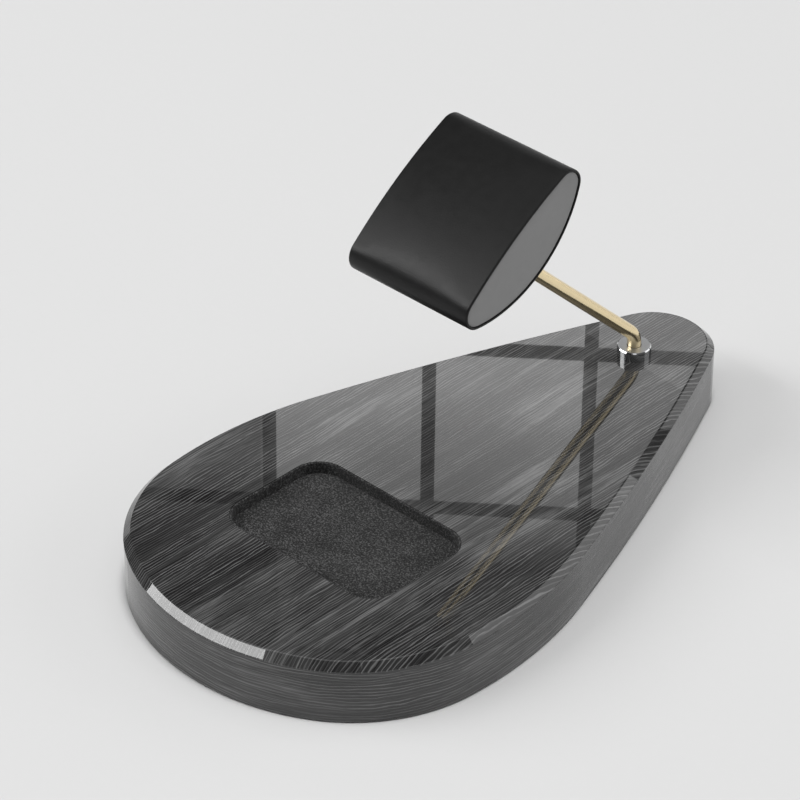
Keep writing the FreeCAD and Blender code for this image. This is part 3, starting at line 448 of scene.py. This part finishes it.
# Plain stuffs that the finished stand hides or nearly hides: softwood with its rings, grey
# board and card with their pulp, rubber with its moulded skin. All are dull and even
def plain_material(name, hex_text, grain_mm, roughness):
    shade = linear(hex_text)
    material, tree, place = new_material(name)
    grain = add_node(tree, "TexNoise", {
        "Vector": add_node(tree, "Mapping", {"Vector": place, "Scale": per_mm(*grain_mm)}),
        "Scale": 1.0, "Detail": 3.0})
    tone = add_node(tree, "ValToRGB", {"Fac": grain}, stops=[
        (0.3, shaded(shade, 0.8)), (0.7, shaded(shade))])
    skin = add_node(tree, "Bump", {"Height": grain, "Strength": 0.3, "Distance": 0.03 * MM})
    shader = add_node(tree, "BsdfPrincipled", {
        "Base Color": tone, "Normal": skin, "Roughness": roughness})
    add_node(tree, "OutputMaterial", {"Surface": shader})
    return material


def dress(node, material):
    """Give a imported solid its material, through its object's own slots."""
    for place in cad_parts[node].material_slots:
        place.link = "OBJECT"
        place.material = material


def object_from(shape, name, material, crease=35):
    """Finish a bmesh as one object, shaded round but crisp where it turns sharply."""
    mesh = bpy.data.meshes.new(name)
    shape.to_mesh(mesh)
    shape.free()
    mesh.materials.append(material)
    mesh.shade_smooth()
    mesh.set_sharp_from_angle(angle=math.radians(crease))
    piece = bpy.data.objects.new(name, mesh)
    bpy.context.scene.collection.objects.link(piece)
    return piece


def bevelled(shape, edges, offset, segments):
    return bmesh.ops.bevel(shape, geom=edges, offset=offset, offset_type="OFFSET",
                           segments=segments, profile=0.5, affect="EDGES",
                           clamp_overlap=True, material=-1)


def rounded_slab(shape, low, high, corner):
    """A box between two corners, with its upright edges rounded."""
    made = bmesh.ops.create_cube(shape, size=1.0)["verts"]
    bmesh.ops.scale(shape, verts=made, vec=high - low)
    bmesh.ops.translate(shape, verts=made, vec=(low + high) / 2)
    upright = [edge for edge in shape.edges
               if abs(edge.verts[0].co.z - edge.verts[1].co.z) > 0.5 * (high - low).z]
    bevelled(shape, upright, corner, segments=14)


def flat_rim(shape, level):
    """Edges at a height where a flat face meets an upright wall."""
    return [edge for edge in shape.edges
            if all(abs(vert.co.z - level) < SAME for vert in edge.verts)
            and any(abs(face.normal.z) < 0.5 for face in edge.link_faces)]


def cushion_arcs(inset):
    """Centre (across the face, then along its depth), radius, start, span and steps of each
    arc of the section."""
    sizes = settings("cushion")
    across = sizes.height / 2 - sizes.corner_radius
    crown = sizes.crown_rise - sizes.crown_radius
    corner = crown + math.sqrt((sizes.crown_radius - sizes.corner_radius) ** 2 - across ** 2)
    back = corner + math.sqrt((sizes.back_radius - sizes.corner_radius) ** 2 - across ** 2)
    lean = math.atan2(corner - crown, across)
    fall = math.atan2(corner - back, across)
    return [
        ((0.0, crown), sizes.crown_radius - inset, lean, math.pi - 2 * lean, FACE_STEPS),
        ((-across, corner), sizes.corner_radius - inset, math.pi - lean, lean - fall,
         CORNER_STEPS),
        ((0.0, back), sizes.back_radius - inset, math.pi - fall, math.pi + 2 * fall,
         BACK_STEPS),
        ((across, corner), sizes.corner_radius - inset, fall, lean - fall, CORNER_STEPS),
    ]


def section_loop(shape, inset, level):
    """The cushion's closed section as a loop of edges, at a distance along X."""
    centre, radius, start, _, _ = cushion_arcs(inset)[0]
    first = Vector((level, centre[0] + radius * math.cos(start),
                    centre[1] + radius * math.sin(start)))
    before = set(shape.edges)
    tip = bmesh.ops.create_vert(shape, co=first)["vert"]
    for centre, radius, start, span, steps in cushion_arcs(inset):
        spun = bmesh.ops.spin(shape, geom=tip, cent=(level, centre[0], centre[1]),
                              axis=(1, 0, 0), angle=span, steps=steps)
        tip = [part for part in spun["geom_last"] if isinstance(part, bmesh.types.BMVert)]
    new_verts = list({v for edge in shape.edges if edge not in before for v in edge.verts})
    bmesh.ops.remove_doubles(shape, verts=new_verts, dist=SAME)
    return [edge for edge in shape.edges if edge not in before]


def cushion_place():
    """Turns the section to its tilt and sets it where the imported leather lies."""
    tilt = Matrix.Rotation(settings("cushion").tilt, 4, "X")
    probe = bmesh.new()
    section_loop(probe, 0.0, 0.0)
    probe.transform(tilt)
    low = Vector([min(v.co[i] for v in probe.verts) for i in range(3)])
    high = Vector([max(v.co[i] for v in probe.verts) for i in range(3)])
    probe.free()
    cad_low, cad_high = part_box("leather_wrap")
    middle = (cad_low + cad_high) / 2 - (low + high) / 2
    return Matrix.Translation(middle) @ tilt


def sleeve_profile():
    """Level along X and inset of each loop of the leather sleeve, outside first. Its ends
    are pared thin round the end panels."""
    sizes = settings("cushion")
    half, lip, leather = sizes.width / 2, sizes.lip_radius, sizes.leather
    reach = half - lip
    outside = [(reach * (step / OUTER_STEPS - 1), 0.0) for step in range(2 * OUTER_STEPS + 1)]
    angles = [math.radians(90 * step / LIP_STEPS) for step in range(1, LIP_STEPS + 1)]
    edge = [(reach + lip * math.sin(angle), lip - lip * math.cos(angle)) for angle in angles]
    edge += [(half - depth, sizes.skived - missing) for depth, missing in PARED_EDGE]
    edge.append((half - PARED_DEPTH, leather))
    inside = [((half - INNER_START) * (1 - step / INNER_STEPS), leather)
              for step in range(2 * INNER_STEPS + 1)]
    return outside, edge + inside + [(-level, inset) for level, inset in reversed(edge)]


def bridged(shape, loops, closed=False):
    """Skin the loops one after another, and the last to the first where it is closed."""
    pairs = list(zip(loops, loops[1:])) + ([(loops[-1], loops[0])] if closed else [])
    for first, second in pairs:
        bmesh.ops.bridge_loops(shape, edges=first + second)


def eased(value):
    """A soft step from 0 to 1."""
    value = min(1.0, max(0.0, value))
    return value * value * (3 - 2 * value)


def swell(shape, hold, reach):
    """Let pressure lift a closed skin where it isn't held, by no more than its reach. The
    cloth works on an enlarged copy, because the solver is made for such sizes."""
    mesh = bpy.data.meshes.new("swelling")
    shape.to_mesh(mesh)
    mesh.transform(Matrix.Scale(SWELL_SCALE, 4))
    skin = bpy.data.objects.new("swelling", mesh)
    scene = bpy.context.scene
    scene.collection.objects.link(skin)
    group = skin.vertex_groups.new(name="held")
    for index, weight in enumerate(hold):
        group.add([index], weight, "REPLACE")
    cloth = skin.modifiers.new("swell", "CLOTH")
    cloth.settings.use_pressure = True
    cloth.settings.uniform_pressure_force = 4.0
    cloth.settings.vertex_group_mass = "held"
    cloth.settings.effector_weights.gravity = 0.0
    cloth.settings.tension_stiffness = 60.0
    cloth.settings.bending_stiffness = 4.0
    cloth.collision_settings.use_collision = False
    for step in range(1, SWELL_STEPS + 1):
        scene.frame_set(step)
    solved = skin.evaluated_get(bpy.context.evaluated_depsgraph_get()).data
    moves = [(point.co - start.co) / SWELL_SCALE
             for point, start in zip(solved.vertices, mesh.vertices)]
    scene.frame_set(1)
    bpy.data.objects.remove(skin)
    bpy.data.meshes.remove(mesh)
    greatest = max(move.length for move in moves)
    if greatest < LEAST_SWELL:
        raise RuntimeError("The leather didn't swell over its foam")
    share = min(1.0, reach / greatest)
    for vert, move in zip(shape.verts, moves):
        vert.co += share * move


def cut_hole(piece, point, way, radius, behind, ahead):
    """Bore a round hole through a piece, from behind a point to a length ahead of it."""
    shape = bmesh.new()
    bmesh.ops.create_cone(shape, cap_ends=True, segments=48, radius1=radius, radius2=radius,
                          depth=behind + ahead)
    turned = way.to_track_quat("Z", "Y").to_matrix().to_4x4()
    shape.transform(Matrix.Translation(point + way * (ahead - behind) / 2) @ turned)
    cutter = object_from(shape, "bore", piece.data.materials[0])
    bore = piece.modifiers.new("bore", "BOOLEAN")
    bore.operation = "DIFFERENCE"
    bore.solver = "EXACT"
    bore.object = cutter
    before = len(piece.data.vertices)
    solved = bpy.data.meshes.new_from_object(
        piece.evaluated_get(bpy.context.evaluated_depsgraph_get()))
    piece.modifiers.remove(bore)
    piece.data = solved
    bpy.data.objects.remove(cutter)
    if len(piece.data.vertices) <= before:
        raise RuntimeError("The bore missed the leather")


class STAND_OT_veneer(bpy.types.Operator):
    """Finish the base in lacquered veneer over its board"""
    bl_idname = "watch_stand.veneer"
    bl_label = "Veneered Base"

    def execute(self, context):
        dress("top_veneer", veneer_material("lacquered_grey_veneer_top", across=0))
        dress("edge_veneer", veneer_material("lacquered_grey_veneer_edge", across=2))
        dress("base_core", fibreboard_material())
        return {"FINISHED"}


class STAND_OT_tray(bpy.types.Operator):
    """Model the felt on the tray's floor and round its wall"""
    bl_idname = "watch_stand.tray"
    bl_label = "Felt Tray Lining"

    def execute(self, context):
        sizes = settings("felt")
        felt = felt_material()
        wall_low, wall_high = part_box("tray_wall_felt")
        floor_low, floor_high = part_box("tray_floor_felt")
        thickness = (wall_high.x - wall_low.x - floor_high.x + floor_low.x) / 2

        shape = bmesh.new()
        rounded_slab(shape, wall_low, wall_high, TRAY_CORNER)
        caps = [face for face in shape.faces if abs(face.normal.z) > 0.9]
        bmesh.ops.delete(shape, geom=caps, context="FACES_ONLY")
        bmesh.ops.recalc_face_normals(shape, faces=shape.faces)
        bmesh.ops.solidify(shape, geom=shape.faces, thickness=thickness)
        bmesh.ops.recalc_face_normals(shape, faces=shape.faces)
        bevelled(shape, flat_rim(shape, wall_high.z), sizes.lining_round, segments=4)
        wall = object_from(shape, "tray_wall_lining", felt, crease=60)
        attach(wall, "base")
        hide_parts("tray_wall_felt")

        shape = bmesh.new()
        corner = TRAY_CORNER - thickness
        rounded_slab(shape, floor_low, floor_high, corner)
        bevelled(shape, flat_rim(shape, floor_high.z), sizes.lining_round, segments=4)
        floor = object_from(shape, "tray_floor_lining", felt, crease=60)
        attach(floor, "base")
        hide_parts("tray_floor_felt")
        dress("tray_card", plain_material("stiff_card", "#8A8378", grain_mm=(0.5,),
                                          roughness=0.85))
        return {"FINISHED"}


class STAND_OT_pad(bpy.types.Operator):
    """Model the felt pad under the base, with its lower edge worn round"""
    bl_idname = "watch_stand.pad"
    bl_label = "Felt Pad"

    def execute(self, context):
        shape = bmesh.new()
        shape.from_mesh(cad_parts["underside_pad"].data)
        bmesh.ops.remove_doubles(shape, verts=shape.verts, dist=SAME)
        bmesh.ops.dissolve_limit(shape, angle_limit=math.radians(1), verts=shape.verts,
                                 edges=shape.edges)
        low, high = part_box("underside_pad")
        bevelled(shape, flat_rim(shape, low.z), settings("felt").lining_round, segments=3)
        cut = sum(face.calc_area() for face in shape.faces if face.normal.z > 0.9)
        pad = object_from(shape, "underside_felt", bpy.data.materials["charcoal_wool_felt"])
        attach(pad, "base")
        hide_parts("underside_pad")
        return {"FINISHED"}


class STAND_OT_metalwork(bpy.types.Operator):
    """Finish the rod, its ferrule and bush, and the hardware under the base"""
    bl_idname = "watch_stand.metalwork"
    bl_label = "Rod, Ferrule and Hardware"

    def execute(self, context):
        sizes = settings("metal")
        dress("stem_rod", metal_material("polished_pale_brass", sizes.brass,
                                         roughness=0.12, mark_mm=0.8))
        turned = metal_material("turned_brass", sizes.turned_brass,
                                roughness=0.24, mark_mm=0.3)
        dress("stem_bush", turned)
        dress("rod_socket", turned)
        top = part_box("ferrule")[1].z
        dress("ferrule", metal_material("chromium_plate", sizes.chrome, roughness=0.08,
                                        mark_mm=0.5, satin_level=top - SATIN_DEPTH))
        zinc = metal_material("zinc_plated_steel", sizes.zinc, roughness=0.3, mark_mm=1.2)
        for node in ("plain_washer", "spring_washer", "lock_nut"):
            dress(node, zinc)
        dress("grip_ring", plain_material("moulded_nitrile_rubber", "#202020",
                                          grain_mm=(0.2,), roughness=0.75))
        return {"FINISHED"}


class STAND_OT_cushion(bpy.types.Operator):
    """Model the cushion's leather sleeve, swelling over the foam on its face"""
    bl_idname = "watch_stand.cushion"
    bl_label = "Leather Cushion"

    def execute(self, context):
        sizes = settings("cushion")
        shape = bmesh.new()
        outside, rest = sleeve_profile()
        loops = [section_loop(shape, inset, level) for level, inset in outside]
        shape.verts.index_update()
        skin = len(shape.verts)
        loops += [section_loop(shape, inset, level) for level, inset in rest]
        bridged(shape, loops, closed=True)
        bmesh.ops.recalc_face_normals(shape, faces=shape.faces)
        shape.verts.index_update()
        hold = [1.0] * len(shape.verts)
        for index, vert in enumerate(shape.verts):
            if index < skin:
                inward = sizes.width / 2 - abs(vert.co.x)
                free = (eased((vert.co.z - SWELL_LEVEL) / SWELL_STRETCH)
                        * eased((inward - HELD_END) / END_STRETCH))
                hold[index] = 1.0 - free
        swell(shape, hold, sizes.swell)
        shape.transform(cushion_place())
        leather = leather_material("black_satin_leather", sizes.leather_shade, mottle=0.12,
                                   pore_mm=0.5, depth_mm=0.03, roughness=0.36, shine=0.26)
        wrap = object_from(shape, "cushion_wrap", leather, crease=50)
        low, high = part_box("rod_socket")
        cut_hole(wrap, (low + high) / 2, -ROD_RUN.normalized(), sizes.socket_hole / 2,
                 behind=2 * MM, ahead=9 * MM)
        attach(wrap, "cushion")
        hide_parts("leather_wrap", "face_foam")
        dress("cushion_core", plain_material("planed_softwood", "#B8935F",
                                             grain_mm=(1.5, 20, 1.5), roughness=0.7))
        board = plain_material("stiff_grey_board", "#77736B", grain_mm=(0.6,), roughness=0.85)
        dress("end_board_left", board)
        dress("end_board_right", board)
        return {"FINISHED"}


class STAND_OT_cushion_ends(bpy.types.Operator):
    """Model the smooth grey panels that close the cushion's ends"""
    bl_idname = "watch_stand.cushion_ends"
    bl_label = "Cushion End Panels"

    def execute(self, context):
        sizes = settings("cushion")
        grey = leather_material("smooth_grey_leather", sizes.end_shade, mottle=0.04,
                                pore_mm=0.4, depth_mm=0.004, roughness=0.6, shine=0.3)
        place = cushion_place()
        for side, name in ((-1, "left"), (1, "right")):
            low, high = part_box("end_facing_" + name)
            inner, outer = sorted((abs(low.x), abs(high.x)))
            shape = bmesh.new()
            profile = [(inner, PANEL_INSET)] + [
                (outer - depth, PANEL_INSET + inset) for depth, inset in PANEL_EDGE]
            loops = [section_loop(shape, inset, side * level) for level, inset in profile]
            bridged(shape, loops)
            ends = [bmesh.ops.contextual_create(shape, geom=loops[index])["faces"][0]
                    for index in (0, -1)]
            bmesh.ops.recalc_face_normals(shape, faces=shape.faces)
            for thickness, rise in PANEL_CROWN:
                bmesh.ops.inset_region(shape, faces=[ends[1]], thickness=thickness,
                                       depth=rise, use_even_offset=True)
            cut = ends[0].calc_area()
            shape.transform(place)
            panel = object_from(shape, "cushion_end_" + name, grey)
            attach(panel, "cushion")
            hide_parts("end_facing_" + name)
        return {"FINISHED"}


def direction(azimuth, elevation):
    """Unit vector; azimuth runs clockwise from the base's narrow end, in degrees."""
    azimuth, elevation = math.radians(azimuth), math.radians(elevation)
    return Vector((math.sin(azimuth) * math.cos(elevation),
                   math.cos(azimuth) * math.cos(elevation), math.sin(elevation)))


def lamp(name, middle, along, away, width, depth, radiance):
    """A rectangle of light whose face is equally bright all over; white paper is about 1."""
    data = bpy.data.lights.new(name, "AREA")
    data.shape = "RECTANGLE"
    data.size, data.size_y = width, depth
    data.energy = radiance * math.pi * width * depth
    piece = bpy.data.objects.new(name, data)
    turned = Matrix((along, away.cross(along), away)).transposed().to_4x4()
    piece.matrix_world = Matrix.Translation(middle) @ turned
    piece.visible_camera = False
    bpy.context.scene.collection.objects.link(piece)
    return piece


def softbox(name, first, last, breadth, distance, radiance):
    """A softbox that the stand sees between two directions, and as broad as an angle."""
    first, last = direction(*first), direction(*last)
    away = (first + last).normalized()
    width = 2 * distance * math.tan(first.angle(last) / 2)
    depth = 2 * distance * math.tan(math.radians(breadth) / 2)
    return lamp(name, away * distance, (last - first).normalized(), away, width, depth, radiance)


class STAND_OT_stage(bpy.types.Operator):
    """Set the pale floor, the soft light, the barred window and the camera"""
    bl_idname = "watch_stand.stage"
    bl_label = "Stage, Light and Camera"

    def execute(self, context):
        scene = context.scene
        sizes = settings("stage")
        scene.view_settings.view_transform = "Standard"
        scene.view_settings.look = "None"
        self.floor(sizes)
        self.surroundings(scene, sizes)
        for name, first, last, breadth, distance, radiance, mirrored in SOFTBOXES:
            softbox(name, first, last, breadth, distance, radiance).visible_glossy = mirrored
        self.window(sizes)
        self.camera(scene, sizes)
        return {"FINISHED"}

    def floor(self, sizes):
        material, tree, place = new_material("seamless_paper")
        pulp = add_node(tree, "TexNoise", {
            "Vector": place, "Scale": per_mm(FLOOR_PULP)[0], "Detail": 2.0})
        tone = add_node(tree, "ValToRGB", {"Fac": pulp}, stops=[
            (0.3, shaded(sizes.floor, 0.995)), (0.7, shaded(sizes.floor))])
        shader = add_node(tree, "BsdfPrincipled", {
            "Base Color": tone, "Roughness": 0.9, "Specular IOR Level": 0.1})
        add_node(tree, "OutputMaterial", {"Surface": shader})
        shape = bmesh.new()
        bmesh.ops.create_grid(shape, x_segments=1, y_segments=1, size=FLOOR_HALF)
        object_from(shape, "paper_floor", material)

    def surroundings(self, scene, sizes):
        world = bpy.data.worlds.new("dim_studio")
        world.use_nodes = True
        world.node_tree.nodes.clear()
        shader = add_node(world.node_tree, "Background", {
            "Color": shaded(linear("#FFFFFF")), "Strength": sizes.surroundings})
        add_node(world.node_tree, "OutputWorld", {"Surface": shader})
        scene.world = world

    def window(self, sizes):
        """Panes with dim bars between them, which the lacquer mirrors. Their light fades
        upwards and to the sides, and a pale slope outside crosses a corner of them."""
        away, along = Vector(WINDOW_FACING), Vector(WINDOW_LEVEL)
        glass = away * sizes.window_distance
        aside, above = sizes.upright_bar / 2, sizes.level_bar / 2
        left, right = BAR_PLACES[0], BAR_PLACES[-1]
        low, high = BAR_HEIGHTS[0], BAR_HEIGHTS[-1]
        panes = [((x0 + aside, z0 + above), (x1 - aside, z0 + above),
                  (x1 - aside, z1 - above), (x0 + aside, z1 - above))
                 for x0, x1 in zip(BAR_PLACES, BAR_PLACES[1:])
                 for z0, z1 in zip(BAR_HEIGHTS, BAR_HEIGHTS[1:])]
        behind = [((left, low), (right, low), (right, high), (left, high))]
        self.lit_faces("window_bars", glass + GLASS_GAP * away, panes=behind,
                       material=self.daylight("painted_bars", along, sizes.bar_light))
        self.lit_faces("window_panes", glass, panes=panes,
                       material=self.daylight("daylit_panes", along, sizes.pane_light))

        material, tree, _ = new_material("pale_slope")
        glow = add_node(tree, "Emission", {"Strength": sizes.slope_light})
        clear = add_node(tree, "BsdfTransparent")
        both = add_node(tree, "AddShader", {0: clear, 1: glow})
        add_node(tree, "OutputMaterial", {"Surface": both})
        self.lit_faces("window_slope", glass - GLASS_GAP * away, panes=[SLOPE],
                       material=material)

    def daylight(self, name, along, strength):
        """Light that fades with the height and from one side of the window to the other."""
        material, tree, place = new_material(name)
        height = add_node(tree, "SeparateXYZ", {"Vector": place}).outputs["Z"]
        rise = add_node(tree, "MapRange", {
            "Value": height, "From Min": BAR_HEIGHTS[0], "From Max": BAR_HEIGHTS[-1]})
        fade = add_node(tree, "ValToRGB", {"Fac": rise}, stops=[
            (share, shaded((light,) * 3)) for share, light in WINDOW_FADE])
        sideways = add_node(tree, "VectorMath", {0: place, 1: along}, operation="DOT_PRODUCT")
        run = add_node(tree, "MapRange", {
            "Value": sideways.outputs["Value"], "From Min": BAR_PLACES[0],
            "From Max": BAR_PLACES[-1]})
        columns = add_node(tree, "ValToRGB", {"Fac": run}, stops=[
            (share, shaded((light,) * 3)) for share, light in COLUMN_FADE])
        light = add_node(tree, "Mix", {"Factor": 1.0, "A": fade, "B": columns},
                         data_type="RGBA", blend_type="MULTIPLY")
        glow = add_node(tree, "Emission", {"Color": light, "Strength": strength})
        add_node(tree, "OutputMaterial", {"Surface": glow})
        return material

    def lit_faces(self, name, middle, panes, material):
        """Shining faces on the window's plane, from their places along it and heights."""
        away, along = Vector(WINDOW_FACING), Vector(WINDOW_LEVEL)
        rise = along.cross(away)
        shape = bmesh.new()
        for outline in panes:
            corners = [bmesh.ops.create_vert(
                shape, co=middle + along * place + rise * height)["vert"][0]
                for place, height in outline]
            bmesh.ops.contextual_create(shape, geom=corners)
        piece = object_from(shape, name, material)
        piece.visible_camera = False

    def camera(self, scene, sizes):
        data = bpy.data.cameras.new("camera")
        data.lens = sizes.focal
        data.sensor_width = 36.0
        data.clip_end = 20.0
        data.dof.use_dof = False
        camera = bpy.data.objects.new("camera", data)
        back = direction(*VIEW)
        camera.location = Vector(VIEW_TARGET) + back * VIEW_DISTANCE
        camera.rotation_euler = back.to_track_quat("Z", "Y").to_euler()
        scene.collection.objects.link(camera)
        scene.camera = camera


PIECES = (STAND_OT_veneer, STAND_OT_tray, STAND_OT_pad, STAND_OT_metalwork,
          STAND_OT_cushion, STAND_OT_cushion_ends, STAND_OT_stage)


class STAND_PT_panel(bpy.types.Panel):
    """Lists the stand's sizes, colours and pieces"""
    bl_idname = "STAND_PT_panel"
    bl_label = "Watch Stand"
    bl_space_type = "VIEW_3D"
    bl_region_type = "UI"
    bl_category = "Watch Stand"

    def draw(self, context):
        for name, group in GROUPS.items():
            box = self.layout.box()
            box.label(text=name.capitalize())
            for key in group.__annotations__:
                box.prop(settings(name), key)
        for piece in PIECES:
            self.layout.operator(piece.bl_idname)


def register():
    for name, group in GROUPS.items():
        bpy.utils.register_class(group)
        pointer = bpy.props.PointerProperty(type=group)
        setattr(bpy.types.Scene, "watch_stand_" + name, pointer)
    for item in PIECES + (STAND_PT_panel,):
        bpy.utils.register_class(item)


def unregister():
    for item in reversed(PIECES + (STAND_PT_panel,)):
        bpy.utils.unregister_class(item)
    for name, group in GROUPS.items():
        delattr(bpy.types.Scene, "watch_stand_" + name)
        bpy.utils.unregister_class(group)


def main():
    register()
    for piece in PIECES:
        call = getattr(bpy.ops.watch_stand, piece.bl_idname.split(".")[1])
        call()


if __name__ == "__main__":
    main()
